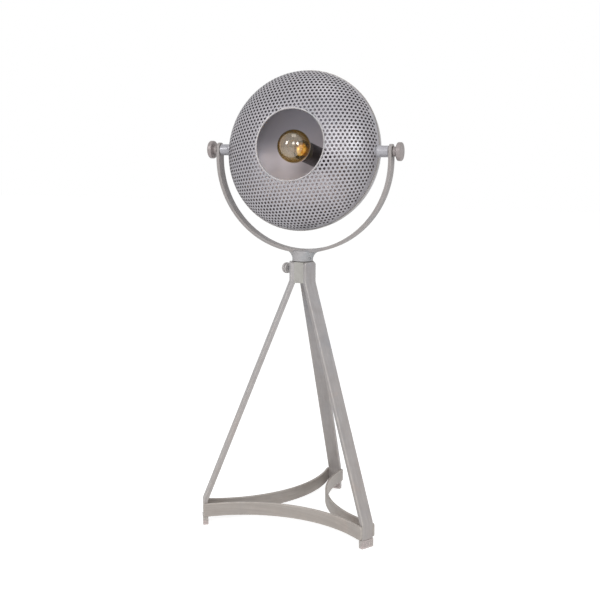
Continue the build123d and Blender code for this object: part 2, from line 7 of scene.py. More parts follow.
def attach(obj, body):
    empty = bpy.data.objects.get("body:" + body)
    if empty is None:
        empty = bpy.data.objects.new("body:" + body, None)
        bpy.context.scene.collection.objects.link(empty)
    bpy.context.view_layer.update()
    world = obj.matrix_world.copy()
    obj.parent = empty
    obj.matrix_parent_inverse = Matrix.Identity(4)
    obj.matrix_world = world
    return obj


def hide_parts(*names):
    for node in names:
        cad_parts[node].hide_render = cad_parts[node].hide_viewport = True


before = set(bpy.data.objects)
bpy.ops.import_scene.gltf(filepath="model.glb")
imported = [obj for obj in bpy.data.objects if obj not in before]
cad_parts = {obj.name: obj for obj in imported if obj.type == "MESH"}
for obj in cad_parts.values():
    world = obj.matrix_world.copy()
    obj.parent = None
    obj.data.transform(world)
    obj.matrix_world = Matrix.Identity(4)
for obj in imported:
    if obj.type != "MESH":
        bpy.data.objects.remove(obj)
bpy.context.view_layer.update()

# The pieces are made in millimetres, in the frame of the CAD, and make_piece scales them to metres. Where
# a piece stands for a CAD node, its sizes are the CAD's. The floor, the lamps and the camera are in metres.
MM = 0.001
ACROSS = Vector((1, 0, 0))
BACKWARD = Vector((0, 1, 0))
UP = Vector((0, 0, 1))

# The head's pieces are made about the middle of its trunnions, and at rest the head looks up by TILT.
TRUNNION = Vector((0, 0, 525))
TILT = math.radians(10.5)
FORWARD = Vector((0, -math.cos(TILT), math.sin(TILT)))
HEAD_UP = Vector((0, math.sin(TILT), math.cos(TILT)))


# ---------------------------------------------------------------- mesh helpers

# How finely the bars are divided.
SECTION_CORNER_STEPS = 3
END_CORNER_STEPS = 6
RING_SPACING = 12
LEAST_RING_GAP = 0.5
TANGENT_REACH = 0.2

# An edge is rounded by at most this share of half the bar's size.
MOST_ROUNDING = 0.9

# Paler edges, of rubbed paint with a painted highlight, fade over this much of a face beside an edge, or
# over this share of a narrow face.
EDGE_FADE = 1.4
MOST_EDGE_FADE = 0.3

# The paler edge on a bar's end, rubbed and with a painted highlight, reaches this many times its edge's
# rounding along the bar.
END_EDGE_REACH = 1.2

# How fast the lane of the lengthwise grain changes over a bar's width and its thickness.
LANE_ACROSS = 0.1
LANE_THROUGH = 0.3

# A bar's flat faces, past this share of half its thickness, are dented by noise of a scale per mm. One
# seed's noise lies this far from the next one's.
DENTED_FROM = 0.6
DENT_SCALE = 0.045
DENT_SEED_STEP = 57


def make_piece(name, points, faces, body, replaced, materials, attributes=None, sharp=35):
    """A mesh object from points in mm, riding on a CAD body and standing for CAD nodes.

    materials is a list of (material, number of faces), in the order of the faces. attributes holds a
    number for each point under each name. Edges turning by more than sharp degrees stay sharp.
    """
    mesh = bpy.data.meshes.new(name)
    mesh.from_pydata([Vector(p) * MM for p in points], [], faces)
    first = 0
    for index, (material, count) in enumerate(materials):
        mesh.materials.append(material)
        for polygon in mesh.polygons[first:first + count]:
            polygon.material_index = index
        first += count
    for key, values in (attributes or {}).items():
        layer = mesh.attributes.new(key, "FLOAT", "POINT")
        layer.data.foreach_set("value", values)
    mesh.update()
    mesh.shade_smooth()
    mesh.set_sharp_from_angle(angle=math.radians(sharp))
    piece = bpy.data.objects.new(name, mesh)
    bpy.context.scene.collection.objects.link(piece)
    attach(piece, body)
    if replaced:
        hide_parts(*replaced)
    return piece


def section_ring(half_width, half_thickness, edge):
    """A rounded rectangle with close points by its corners: (across, through, wear) for each point."""
    edge = min(edge, half_width * MOST_ROUNDING, half_thickness * MOST_ROUNDING)
    ring = []
    corners = ((1, 1), (-1, 1), (-1, -1), (1, -1))
    for index, (side_x, side_y) in enumerate(corners):
        centre_x, centre_y = side_x * (half_width - edge), side_y * (half_thickness - edge)
        start = index * 90
        for step in range(SECTION_CORNER_STEPS + 1):
            turn = math.radians(start + 90 * step / SECTION_CORNER_STEPS)
            ring.append((centre_x + edge * math.cos(turn), centre_y + edge * math.sin(turn), 1.0))
        # The flat between this corner and the next.
        next_x, next_y = corners[(index + 1) % 4]
        from_x, from_y, _ = ring[-1]
        to_x = next_x * (half_width - edge) + edge * math.cos(math.radians(start + 90))
        to_y = next_y * (half_thickness - edge) + edge * math.sin(math.radians(start + 90))
        run = math.hypot(to_x - from_x, to_y - from_y)
        margin = min(EDGE_FADE, run * MOST_EDGE_FADE) / run
        for share in (margin, 0.5, 1 - margin):
            ring.append((from_x + (to_x - from_x) * share, from_y + (to_y - from_y) * share, 0.0))
    return ring


def drawn_in(half_size, radius, from_end):
    """Half of a bar's size at a distance from its end, where corners of that radius draw it in."""
    if from_end >= radius:
        return half_size
    return half_size - radius + math.sqrt(max(radius**2 - (radius - from_end) ** 2, 0))


def ring_places(lengths, corner):
    """Where along a bar its rings lie: close together on its rounded ends, and at the stations between."""
    total = lengths[-1]
    by_end = [corner * (1 - math.cos(math.radians(90 * step / END_CORNER_STEPS)))
              for step in range(END_CORNER_STEPS + 1)]
    inner = [d for d in lengths if corner + LEAST_RING_GAP < d < total - corner - LEAST_RING_GAP]
    marks = sorted(set(by_end) | set(inner) | {total - d for d in by_end})
    places = []
    for a, b in zip(marks, marks[1:]):
        parts = max(1, int((b - a) / RING_SPACING))
        places += [a + (b - a) * k / parts for k in range(parts)]
    return places + [marks[-1]]


def sweep_bar(stations, width_axis, bar_width, bar_thickness, edge, end_corner, waviness, seed):
    """A flat bar along stations (mm). Returns points, faces and the attributes of each point.

    The width lies along width_axis. end_corner rounds the bar's corners at both ends, seen flat on.
    Its edge attribute is 1 on the edges, where the paint is rubbed and a highlight is painted. lane is the
    same all along the bar, for finishes with a lengthwise grain.
    """
    lengths = [0.0]
    for a, b in zip(stations, stations[1:]):
        lengths.append(lengths[-1] + (b - a).length)
    total = lengths[-1]

    def place(along):
        along = min(max(along, 0.0), total)
        for i, (start, end) in enumerate(zip(stations, stations[1:])):
            if along <= lengths[i + 1]:
                return start.lerp(end, (along - lengths[i]) / (lengths[i + 1] - lengths[i]))

    points, wear_and_highlight, lane, rings = [], [], [], []
    for d in ring_places(lengths, end_corner):
        from_end = min(d, total - d)
        width = min(drawn_in(bar_width / 2, end_corner, from_end), drawn_in(bar_width / 2, edge, from_end))
        thickness = drawn_in(bar_thickness / 2, edge, from_end)
        centre = place(d)
        tangent = (place(d + TANGENT_REACH) - place(d - TANGENT_REACH)).normalized()
        across = (width_axis - tangent * width_axis.dot(tangent)).normalized()
        through = tangent.cross(across).normalized()
        ring = []
        for x, y, edge_weight in section_ring(width, thickness, edge):
            p = centre + across * x + through * y
            if abs(y) > thickness * DENTED_FROM:
                dent = noise.noise(Vector((p.x, p.y, p.z + seed * DENT_SEED_STEP)) * DENT_SCALE) * waviness
                p = p + through * (dent if y > 0 else -dent)
            ring.append(len(points))
            points.append(p)
            wear_and_highlight.append(1.0 if from_end < edge * END_EDGE_REACH else edge_weight)
            lane.append(x * LANE_ACROSS + y * LANE_THROUGH + seed)
        rings.append(ring)
    faces = []
    size = len(rings[0])
    for a, b in zip(rings, rings[1:]):
        for k in range(size):
            faces.append((a[k], a[(k + 1) % size], b[(k + 1) % size], b[k]))
    faces.append(tuple(reversed(rings[0])))
    faces.append(tuple(rings[-1]))
    return points, faces, {"wear_and_highlight": wear_and_highlight, "lane": lane}


def rounded_path(corners, radius, steps=8):
    """Stations along straight runs joined by tangent arcs."""
    path = [corners[0]]
    for before, here, after in zip(corners, corners[1:], corners[2:]):
        a, b = (before - here).normalized(), (after - here).normalized()
        half = a.angle(b) / 2
        reach = radius / math.tan(half)
        centre = here + (a + b).normalized() * (radius / math.sin(half))
        start, end = here + a * reach, here + b * reach
        for step in range(steps + 1):
            arm = (start - centre).slerp(end - centre, step / steps)
            path.append(centre + arm.normalized() * radius)
    path.append(corners[-1])
    return path


def lathe(profile, origin, axis, steps=64, closed=False):
    """A turned surface from (radius, place along the axis) pairs in mm."""
    side = axis.orthogonal().normalized()
    other = axis.cross(side).normalized()
    points, faces, rows = [], [], []
    for radius, along in profile:
        if radius < 1e-6:
            rows.append([len(points)])
            points.append(origin + axis * along)
            continue
        row = []
        for step in range(steps):
            turn = 2 * math.pi * step / steps
            row.append(len(points))
            points.append(origin + axis * along + (side * math.cos(turn) + other * math.sin(turn)) * radius)
        rows.append(row)
    pairs = list(zip(rows, rows[1:]))
    if closed:
        pairs.append((rows[-1], rows[0]))
    for a, b in pairs:
        # Two points on the axis have no face between them.
        if len(a) == 1 and len(b) == 1:
            continue
        for k in range(steps):
            after = (k + 1) % steps
            if len(a) == 1:
                faces.append((a[0], b[after], b[k]))
            elif len(b) == 1:
                faces.append((a[k], a[after], b[0]))
            else:
                faces.append((a[k], a[after], b[after], b[k]))
    return points, faces


# ---------------------------------------------------------------- materials

def srgb(red, green, blue):
    """A colour written as 0 to 255 sRGB, as Blender's linear RGBA."""
    def linear(level):
        level /= 255
        return level / 12.92 if level <= 0.04045 else ((level + 0.055) / 1.055) ** 2.4
    return (linear(red), linear(green), linear(blue), 1.0)


# Blender's noise seldom leaves this span.
NOISE_SPAN = (0.3, 0.7)


class Nodes:
    """A material's node tree with short ways to add what this scene uses.

    Scales are in cells to the metre, except on lanes. A value is a number, a colour or a node's output.
    """

    def __init__(self, name):
        self.material = bpy.data.materials.new(name)
        self.material.use_nodes = True
        self.tree = self.material.node_tree
        self.shader = self.tree.nodes["Principled BSDF"]
        texture_coordinates = self.tree.nodes.new("ShaderNodeTexCoord")
        self.coordinates = texture_coordinates.outputs["Object"]
        self.normal = texture_coordinates.outputs["Normal"]

    def feed(self, node, values):
        """Sets or links a node's sockets, by name or number."""
        for socket, value in values.items():
            if isinstance(value, (int, float, tuple)):
                node.inputs[socket].default_value = value
            else:
                self.tree.links.new(value, node.inputs[socket])

    def add(self, kind, values):
        node = self.tree.nodes.new(kind)
        self.feed(node, values)
        return node

    def surface(self, **values):
        """Feeds the shader's sockets: Base_Color stands for Base Color."""
        self.feed(self.shader, {socket.replace("_", " "): value for socket, value in values.items()})

    def noise(self, scale, detail=4.0, roughness=0.55, distortion=0.0, source=None):
        node = self.add("ShaderNodeTexNoise", {
            "Scale": scale, "Detail": detail, "Roughness": roughness, "Distortion": distortion,
            "Vector": source or self.coordinates})
        return node.outputs["Fac"]

    def levels(self, value, low, high, out_low=0.0, out_high=1.0):
        """Maps low and high to out_low and out_high, and stops there."""
        node = self.add("ShaderNodeMapRange", {
            "From Min": low, "From Max": high, "To Min": out_low, "To Max": out_high, "Value": value})
        return node.outputs["Result"]

    def uneven(self, scale, low, high, detail=3.0, roughness=0.6):
        """A number that wanders between low and high over the surface."""
        return self.levels(self.noise(scale, detail, roughness), *NOISE_SPAN, low, high)

    def lanes(self, drift):
        """Coordinates that hardly change along a bar, for a lengthwise grain."""
        slow = self.tree.nodes.new("ShaderNodeVectorMath")
        slow.operation = "SCALE"
        self.feed(slow, {"Scale": drift, 0: self.coordinates})
        across = self.add("ShaderNodeCombineXYZ", {"X": self.attribute("lane")})
        total = self.tree.nodes.new("ShaderNodeVectorMath")
        total.operation = "ADD"
        self.feed(total, {0: slow.outputs["Vector"], 1: across.outputs["Vector"]})
        return total.outputs["Vector"]

    def facing(self):
        """0 where the surface is seen square on, 1 at its outline."""
        return self.add("ShaderNodeLayerWeight", {"Blend": 0.5}).outputs["Facing"]

    def attribute(self, name):
        node = self.tree.nodes.new("ShaderNodeAttribute")
        node.attribute_name = name
        return node.outputs["Fac"]

    def separate(self, vector):
        node = self.add("ShaderNodeSeparateXYZ", {"Vector": vector})
        return node.outputs["X"], node.outputs["Y"], node.outputs["Z"]

    def ramp(self, value, stops):
        """Colours in (position, colour) pairs, blended by a value."""
        node = self.add("ShaderNodeValToRGB", {"Fac": value})
        elements = node.color_ramp.elements
        while len(elements) < len(stops):
            elements.new(0.5)
        for element, (position, colour) in zip(elements, stops):
            element.position = position
            element.color = colour
        return node.outputs["Color"]

    def math(self, operation, a, b):
        node = self.tree.nodes.new("ShaderNodeMath")
        node.operation = operation
        self.feed(node, {0: a, 1: b})
        return node.outputs["Value"]

    def mix(self, factor, a, b):
        """Colour a where the factor is 0 and colour b where it is 1."""
        node = self.tree.nodes.new("ShaderNodeMix")
        node.data_type = "RGBA"
        factor_in = [i for i, s in enumerate(node.inputs) if s.name == "Factor" and s.type == "VALUE"][0]
        a_in, b_in = [i for i, s in enumerate(node.inputs) if s.type == "RGBA"]
        self.feed(node, {factor_in: factor, a_in: a, b_in: b})
        return [s for s in node.outputs if s.type == "RGBA"][0]

    def bump(self, height, strength, distance):
        """Bumps of a strength, as high as distance in metres."""
        node = self.add("ShaderNodeBump", {"Strength": strength, "Distance": distance, "Height": height})
        self.surface(Normal=node.outputs["Normal"])


GRIME = srgb(174, 164, 156)
PALE_STREAK = srgb(206, 202, 198)
RUBBED_EDGE_AND_HIGHLIGHT = srgb(206, 200, 192)


def bar_wear_and_edge_highlight(n, colour, dark, grain):
    """A bar's colour with grime low down, a lengthwise grain, paler edges that are rubbed and carry a
    painted highlight, and its fine streaks.
    """
    height_in_stand = n.separate(n.coordinates)[2]
    colour = n.mix(n.levels(height_in_stand, 0.06, 0.34, 0.55 * grain, 0.0), colour, GRIME)
    streaks = n.noise(3.4, 4, 0.65, 0.0, n.lanes(9))
    colour = n.mix(n.levels(streaks, 0.35, 0.65, 0.0, 0.34 * grain), colour, dark)
    fine_streaks = n.noise(11, 3, 0.6, 0.0, n.lanes(5))
    colour = n.mix(n.levels(fine_streaks, 0.50, 0.72, 0.0, 0.30 * grain), colour, PALE_STREAK)
    # Paler edges: rubbed paint, with a painted highlight along them too.
    rubbed_and_highlit = n.levels(n.noise(120, 4, 0.7), 0.42, 0.62, 0.1, 0.55 * grain)
    colour = n.mix(n.math("MULTIPLY", n.attribute("wear_and_highlight"), rubbed_and_highlit), colour, RUBBED_EDGE_AND_HIGHLIGHT)
    return colour, fine_streaks


def worn_paint(name, base, cool, warm, dark, roughness=0.45, metallic=0.2, grain=0.0, fine=1.0):
    """Grey metallic paint with cloudy tints, in colours from 0 to 255.

    fine is the strength of its speckle and bumps. grain, for bars only, is that of their wear and of the
    highlight painted on their edges.
    """
    base, cool, warm, dark = (srgb(*colour) for colour in (base, cool, warm, dark))
    n = Nodes(name)
    colour = n.ramp(n.noise(17, 4, 0.6, 0.5), ((0.30, cool), (0.45, base), (0.58, base), (0.72, warm)))
    patches = n.levels(n.noise(70, 4, 0.65), 0.42, 0.72, 0.0, 0.32)
    colour = n.mix(patches, colour, dark)
    speckle = n.levels(n.noise(1150, 2, 0.5), 0.64, 0.74, 0.0, 0.28 * fine)
    colour = n.mix(speckle, colour, dark)
    height = n.noise(190, 3, 0.6)
    if grain > 0:
        colour, streaks = bar_wear_and_edge_highlight(n, colour, dark, grain)
        height = n.math("ADD", n.math("MULTIPLY", streaks, 0.6), height)
    n.surface(Base_Color=colour, Metallic=metallic,
              Roughness=n.uneven(210, roughness - 0.05, roughness + 0.08))
    n.bump(height, 0.25 * fine, 0.0002)
    return n.material


def plain_finish(name, low, high, roughness, metallic=0.0, scale=320):
    """A finish of one colour family with fine mottling, for small fittings."""
    n = Nodes(name)
    mottled = n.ramp(n.noise(scale, 4, 0.6), ((0.32, srgb(*low)), (0.68, srgb(*high))))
    n.surface(Base_Color=mottled, Metallic=metallic,
              Roughness=n.uneven(scale * 2.3, roughness - 0.06, roughness + 0.1))
    n.bump(n.noise(scale * 4, 3, 0.6), 0.15, 0.0002)
    return n.material


def thin_glass(name, middle, outline):
    """Thin blown glass, palest where it is seen square on and tinted along its outline."""
    n = Nodes(name)
    tint = n.ramp(n.facing(), ((0.0, srgb(*middle)), (0.12, srgb(*middle)), (0.62, srgb(*outline))))
    n.surface(Base_Color=tint, Transmission_Weight=1.0, IOR=1.5, Coat_Weight=0.8, Coat_Roughness=0.02,
              Roughness=n.uneven(140, 0.0, 0.01, roughness=0.5))
    n.bump(n.noise(55, 2, 0.5), 0.03, 0.0004)
    return n.material


def clear_pvc(name, pale, tinted, outline):
    """Soft clear plastic gone cloudy: half see-through, with painted shade where it turns away from the
    view, and a wet shine.
    """
    n = Nodes(name)
    body = n.ramp(n.noise(45, 3, 0.6), ((0.40, srgb(*pale)), (0.60, srgb(*tinted))))
    # Painted shade along the outline, where the surface turns away from the view.
    turned = n.levels(n.facing(), 0.45, 0.8, 0.0, 0.7)
    n.surface(Base_Color=n.mix(turned, body, srgb(*outline)), Transmission_Weight=0.3, IOR=1.45,
              Coat_Weight=0.8, Roughness=n.uneven(300, 0.16, 0.34))
    n.bump(n.noise(150, 2, 0.5), 0.15, 0.0003)
    return n.material


def reflector_with_painted_light(name, plain_tone, lit_tone, shade_tone):
    """Satin paint inside the bowl, with painted light where its wall faces up and to the left, and painted
    shade at the bottom, top and right and by the rim.
    """
    n = Nodes(name)
    to_right, _, to_top = n.separate(n.normal)
    # Painted light: lighter where the wall faces up and to the left, spread unevenly.
    painted_light = n.levels(n.math("SUBTRACT", to_top, n.math("MULTIPLY", to_right, 0.42)), -0.25, 0.55)
    painted_light = n.math("MULTIPLY", painted_light, n.uneven(35, 0.82, 1.0))
    # Painted shade towards the rim.
    painted_shade = n.levels(n.attribute("out"), 0.76, 0.95, 0.0, 0.6)
    # Painted shade at the bottom, the top and the right. The wall faces the axis, so it faces up at the
    # bottom, down at the top and left at the right.
    at_bottom = n.levels(to_top, 0.50, 0.70, 0.0, 0.8)
    at_top = n.levels(to_top, -0.32, -0.60, 0.0, 0.7)
    at_right = n.levels(to_right, -0.08, -0.40, 0.0, 0.8)
    for shade_there in (at_bottom, at_top, at_right):
        painted_shade = n.math("MAXIMUM", painted_shade, shade_there)
    colour = n.mix(painted_light, srgb(*plain_tone), srgb(*lit_tone))
    n.surface(Base_Color=n.mix(painted_shade, colour, srgb(*shade_tone)), Metallic=0.3,
              Roughness=n.uneven(210, 0.38, 0.46))
    return n.material


def golden_base(name):
    """The bulb's foot as it looks through the glass: amber, yellow and brown swirls."""
    n = Nodes(name)
    swirls = n.ramp(n.noise(110, 3, 0.6, 1.6), (
        (0.28, srgb(200, 130, 44)), (0.44, srgb(250, 200, 84)), (0.58, srgb(254, 232, 150)),
        (0.72, srgb(240, 176, 66))))
    n.surface(Base_Color=swirls, Metallic=0.6, Roughness=n.uneven(260, 0.22, 0.4, 2, 0.5))
    n.bump(n.noise(320, 3, 0.6), 0.4, 0.0005)
    return n.material


leg_paint = worn_paint("leg_paint", (171, 168, 169), (160, 162, 168), (183, 172, 168), (136, 130, 128),
                       grain=0.7)
stretcher_paint = worn_paint("stretcher_paint", (173, 167, 162), (164, 162, 162), (184, 171, 162),
                             (136, 129, 124), grain=0.8)
strap_paint = worn_paint("strap_paint", (157, 152, 151), (150, 149, 151), (165, 156, 152), (136, 128, 126),
                         metallic=0.1, grain=0.35, fine=0.4)
hub_paint = worn_paint("hub_paint", (172, 170, 165), (162, 163, 159), (176, 170, 168), (130, 127, 122))
# Paler than the hub's grey: painted light, making up for the shade the thumbscrew stands in.
thumbscrew_paint_with_painted_light = worn_paint("thumbscrew_paint_with_painted_light", (202, 198, 197), (192, 190, 192), (212, 204, 200),
                              (150, 145, 142), metallic=0.1, fine=0.5)
collar_paint = worn_paint("collar_paint", (173, 171, 172), (160, 163, 166), (186, 179, 175),
                          (116, 112, 110), fine=1.6)
head_paint = worn_paint("head_paint", (173, 170, 175), (166, 166, 171), (181, 174, 178), (147, 144, 149),
                        roughness=0.37, metallic=0.35, fine=0.0)
# Near black inside the dome, on the walls of its holes and on the seam's floor: painted shade, so that the
# holes and the seam look dark.
inner_painted_shade = worn_paint("inner_painted_shade", (64, 61, 62), (58, 57, 59), (70, 65, 65), (52, 50, 51),
                         roughness=0.5, fine=0.0)
# The light and shade inside the bowl are painted into this paint.
reflector_paint = reflector_with_painted_light("reflector_paint", (172, 169, 181), (234, 219, 218), (92, 88, 90))
rim_paint = worn_paint("rim_paint", (178, 173, 170), (168, 167, 166), (190, 178, 172), (140, 134, 130),
                       roughness=0.4)
lip_paint = worn_paint("lip_paint", (170, 166, 167), (160, 160, 163), (180, 171, 169), (140, 136, 136),
                       roughness=0.38, fine=0.0)
knob_paint = worn_paint("knob_paint", (152, 144, 143), (142, 138, 139), (162, 150, 147), (112, 104, 102),
                        roughness=0.4, metallic=0.3, fine=1.2)
boss_paint = worn_paint("boss_paint", (171, 170, 175), (162, 164, 171), (178, 172, 174), (122, 120, 126),
                        roughness=0.35, fine=0.5)
pvc = clear_pvc("clear_pvc_caps", (202, 197, 189), (208, 193, 190), (116, 102, 98))
dark_washer = plain_finish("dark_washer", (52, 47, 44), (72, 66, 62), 0.7)
bronze = plain_finish("dark_bronze", (36, 29, 31), (58, 48, 51), 0.38, 0.5, 240)
black_moulding = plain_finish("black_moulding", (24, 22, 21), (38, 35, 33), 0.5)
brass = plain_finish("brass", (176, 132, 62), (204, 160, 84), 0.3, 0.9, 260)
steel = plain_finish("plain_steel", (150, 150, 152), (178, 178, 180), 0.35, 0.9, 300)
filament_wire = plain_finish("filament", (122, 96, 66), (160, 128, 92), 0.45, 0.6, 900)
amber_glass = thin_glass("amber_glass", (228, 219, 199), (212, 172, 52))
bulb_foot = golden_base("bulb_foot")

NODE_MATERIALS = {
    rim_paint: ("rim_band",),
    boss_paint: ("boss_left", "boss_right"),
    lip_paint: ("aperture_ring",),
    hub_paint: ("hub_core",),
    thumbscrew_paint_with_painted_light: ("swivel_screw_knob",),
    collar_paint: ("yoke_collar",),
    knob_paint: ("knob_left", "knob_right"),
    pvc: ("foot_cap_rear", "foot_cap_front_left", "foot_cap_front_right"),
    dark_washer: ("friction_washer_left", "friction_washer_right", "knob_washer_left", "knob_washer_right",
                  "swivel_washer", "clamp_pad"),
    bronze: ("holder_cover", "hub_bush"),
    black_moulding: ("holder_insert", "cable_gland", "bulb_insulator"),
    brass: ("holder_thread_shell", "bulb_cap", "holder_terminals", "centre_contact", "bulb_tip"),
    steel: ("swivel_screw_stud", "yoke_spigot", "nipple", "nipple_nut_inner", "nipple_nut_outer",
            "knob_stud_left", "knob_stud_right", "collar_grub_screw"),
    bulb_foot: ("bulb_stem",),
    filament_wire: ("bulb_filament",),
}
for finish, names in NODE_MATERIALS.items():
    for name in names:
        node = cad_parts[name]
        if not node.material_slots:
            node.data.materials.append(finish)
        for material_slot in node.material_slots:
            material_slot.material = finish


# ---------------------------------------------------------------- legs and stretchers

LEG_ANGLES = {"rear": 90, "front_left": 210, "front_right": 330}
LEG_WIDTH = 19
LEG_THICKNESS = 6
LEG_EDGE = 0.8
LEG_CORNER_RADIUS = 3.5
LEG_WAVINESS = 0.12
LEG_BEND_RADIUS = 9
LEG_BOTTOM = 2
LEG_FOOT_BEND_Z = 34
LEG_TOP_BEND_Z = 345
HUB_TOP = 373
HUB_LEG_APOTHEM = 11.5
FOOT_RADIUS = 142

STRETCHER_ANGLES = {"front": 270, "left": 150, "right": 30}
HALF_LEG_SPACING = math.radians(60)
STRETCHER_BOTTOM = 12.5
STRETCHER_HEIGHT = 19
STRETCHER_THICKNESS = 3.2
STRETCHER_EDGE = 0.7
STRETCHER_CORNER_RADIUS = 3
STRETCHER_WAVINESS = 0.1
STRETCHER_APEX = 38
STRETCHER_TAIL = 8
STRETCHER_HALF_STEPS = 28
STRETCHER_SEED = 3


def leg_path(angle):
    """A leg's middle line: down the hub, out along the slope and down to the foot."""
    turn = math.radians(angle)
    by_hub = HUB_LEG_APOTHEM + LEG_THICKNESS / 2
    by_foot = FOOT_RADIUS - LEG_THICKNESS / 2
    corners = ((by_hub, HUB_TOP), (by_hub, LEG_TOP_BEND_Z),
               (by_foot, LEG_FOOT_BEND_Z), (by_foot, LEG_BOTTOM))
    return rounded_path([Vector((out * math.cos(turn), out * math.sin(turn), up)) for out, up in corners],
                        LEG_BEND_RADIUS)


def stretcher_path():
    """One stretcher's middle line, before it is turned to its place: y points away from the stand.

    An arc that comes nearest the stand's axis at its apex, with a straight tail against a leg at each end.
    """
    leg_out = Vector((math.sin(HALF_LEG_SPACING), math.cos(HALF_LEG_SPACING), 0))
    leg_side = Vector((-leg_out.y, leg_out.x, 0))
    against_leg = leg_side * (LEG_WIDTH / 2 + STRETCHER_THICKNESS / 2)
    end = leg_out * FOOT_RADIUS + against_leg
    tail = leg_out * (FOOT_RADIUS - STRETCHER_TAIL) + against_leg
    half, rise = tail.x, tail.y - STRETCHER_APEX
    radius = (half**2 + rise**2) / (2 * rise)
    reach = math.asin(half / radius)
    arc = []
    for step in range(-STRETCHER_HALF_STEPS, STRETCHER_HALF_STEPS + 1):
        turn = reach * step / STRETCHER_HALF_STEPS
        arc.append(Vector((radius * math.sin(turn), STRETCHER_APEX + radius * (1 - math.cos(turn)), 0)))
    return [Vector((-end.x, end.y, 0))] + arc + [end]


for leg_name, angle in LEG_ANGLES.items():
    sideways = Vector((-math.sin(math.radians(angle)), math.cos(math.radians(angle)), 0))
    points, faces, layers = sweep_bar(leg_path(angle), sideways, LEG_WIDTH, LEG_THICKNESS, LEG_EDGE,
                                      LEG_CORNER_RADIUS, LEG_WAVINESS, angle)
    make_piece(f"flat_leg_{leg_name}", points, faces, "tripod", [f"leg_{leg_name}"],
               [(leg_paint, len(faces))], layers)

for stretcher_name, angle in STRETCHER_ANGLES.items():
    turn = Matrix.Rotation(math.radians(angle - 90), 3, "Z")
    path = [turn @ p + UP * (STRETCHER_BOTTOM + STRETCHER_HEIGHT / 2) for p in stretcher_path()]
    points, faces, layers = sweep_bar(path, UP, STRETCHER_HEIGHT, STRETCHER_THICKNESS, STRETCHER_EDGE,
                                      STRETCHER_CORNER_RADIUS, STRETCHER_WAVINESS, angle + STRETCHER_SEED)
    make_piece(f"flat_stretcher_{stretcher_name}", points, faces, "tripod", [f"stretcher_{stretcher_name}"],
               [(stretcher_paint, len(faces))], layers)


# ---------------------------------------------------------------- yoke strap

STRAP_WIDTH = 16
STRAP_THICKNESS = 4.5
STRAP_RADIUS = 128
STRAP_CENTRE = 513.3
STRAP_TOP = 535
STRAP_EDGE = 0.8
STRAP_CORNER_RADIUS = 7.8
STRAP_WAVINESS = 0.06
STRAP_STEPS = 72
STRAP_SEED = 5


def strap_path():
    """The strap's middle line: a half circle with a straight arm up from each end."""
    arm = STRAP_RADIUS - STRAP_THICKNESS / 2
    path = [Vector((-arm, 0, STRAP_TOP))]
    for step in range(STRAP_STEPS + 1):
        turn = math.pi * step / STRAP_STEPS
        path.append(Vector((-arm * math.cos(turn), 0, STRAP_CENTRE - arm * math.sin(turn))))
    path.append(Vector((arm, 0, STRAP_TOP)))
    return path


points, faces, layers = sweep_bar(strap_path(), BACKWARD, STRAP_WIDTH, STRAP_THICKNESS, STRAP_EDGE,
                                  STRAP_CORNER_RADIUS, STRAP_WAVINESS, STRAP_SEED)
make_piece("strap_of_yoke", points, faces, "yoke", ["yoke_strap"], [(strap_paint, len(faces))],
           layers)


# ---------------------------------------------------------------- collar's weld and ring

COLLAR_RADIUS = 14.5

# A weld bead on each side, between the collar's wall and the underside of the strap.
WELD_HALF_LENGTH = 7.2
WELD_DROP = 10.5
WELD_REACH = 13
WELD_END_MARGIN = 0.3
WELD_LEAST_FULLNESS = 0.2
WELD_IN_WALL = 0.2
WELD_IN_STRAP = 0.3
WELD_BACK = 0.6

# How a bead's face swells between its foot on the wall and its tip on the strap, and how hollow it is.
WELD_SWELL_OUT = 0.6
WELD_SWELL_UP = 0.7
WELD_HOLLOW = 1.4

# A raised ring round the grub screw in the collar's side: (radius, distance from the lamp's axis).
GRUB_ANGLE = math.radians(-22)
GRUB_Z = 379.5
GRUB_RING = [(2.2, 14.0), (2.2, 14.8), (2.5, 15.1), (3.1, 15.1), (3.5, 14.8), (3.6, 13.8)]
GRUB_RING_STEPS = 36


def strap_underside(x):
    """The height of the strap's underside at x, and a little more, so that the bead reaches into it."""
    return STRAP_CENTRE - math.sqrt(STRAP_RADIUS**2 - x**2) + WELD_IN_STRAP


def weld_bead(side, stations=13, curve=7):
    """A hollow-faced bead under the strap: rings across its length, closed at both ends."""
    points, faces = [], []
    for i in range(stations):
        y = WELD_HALF_LENGTH * math.sin(math.pi / 2 * (2 * i / (stations - 1) - 1))
        fullness = math.sqrt(1 - (y / (WELD_HALF_LENGTH + WELD_END_MARGIN)) ** 2)
        fullness = max(fullness, WELD_LEAST_FULLNESS)
        wall = math.sqrt(COLLAR_RADIUS**2 - y**2) - WELD_IN_WALL
        tip = wall + WELD_REACH * fullness
        low, high = strap_underside(wall) - WELD_DROP * fullness, strap_underside(tip)
        ring = []
        for k in range(curve):
            t = k / (curve - 1)
            bow = t * (1 - t)
            x = wall + (tip - wall) * (t * t + WELD_SWELL_OUT * bow * (1 - WELD_HOLLOW * bow))
            z = low + (high - low) * (t + WELD_SWELL_UP * bow)
            ring.append((x, z))
        ring += [(wall, strap_underside(wall)), (wall - WELD_BACK, (low + strap_underside(wall)) / 2)]
        points += [Vector((side * x, y, z)) for x, z in ring]
    size = curve + 2
    for i in range(stations - 1):
        for k in range(size):
            a, b = i * size + k, i * size + (k + 1) % size
            faces.append((a, b, b + size, a + size))
    faces.append(tuple(range(size - 1, -1, -1)))
    faces.append(tuple((stations - 1) * size + k for k in range(size)))
    if side > 0:
        faces = [tuple(reversed(face)) for face in faces]
    return points, faces


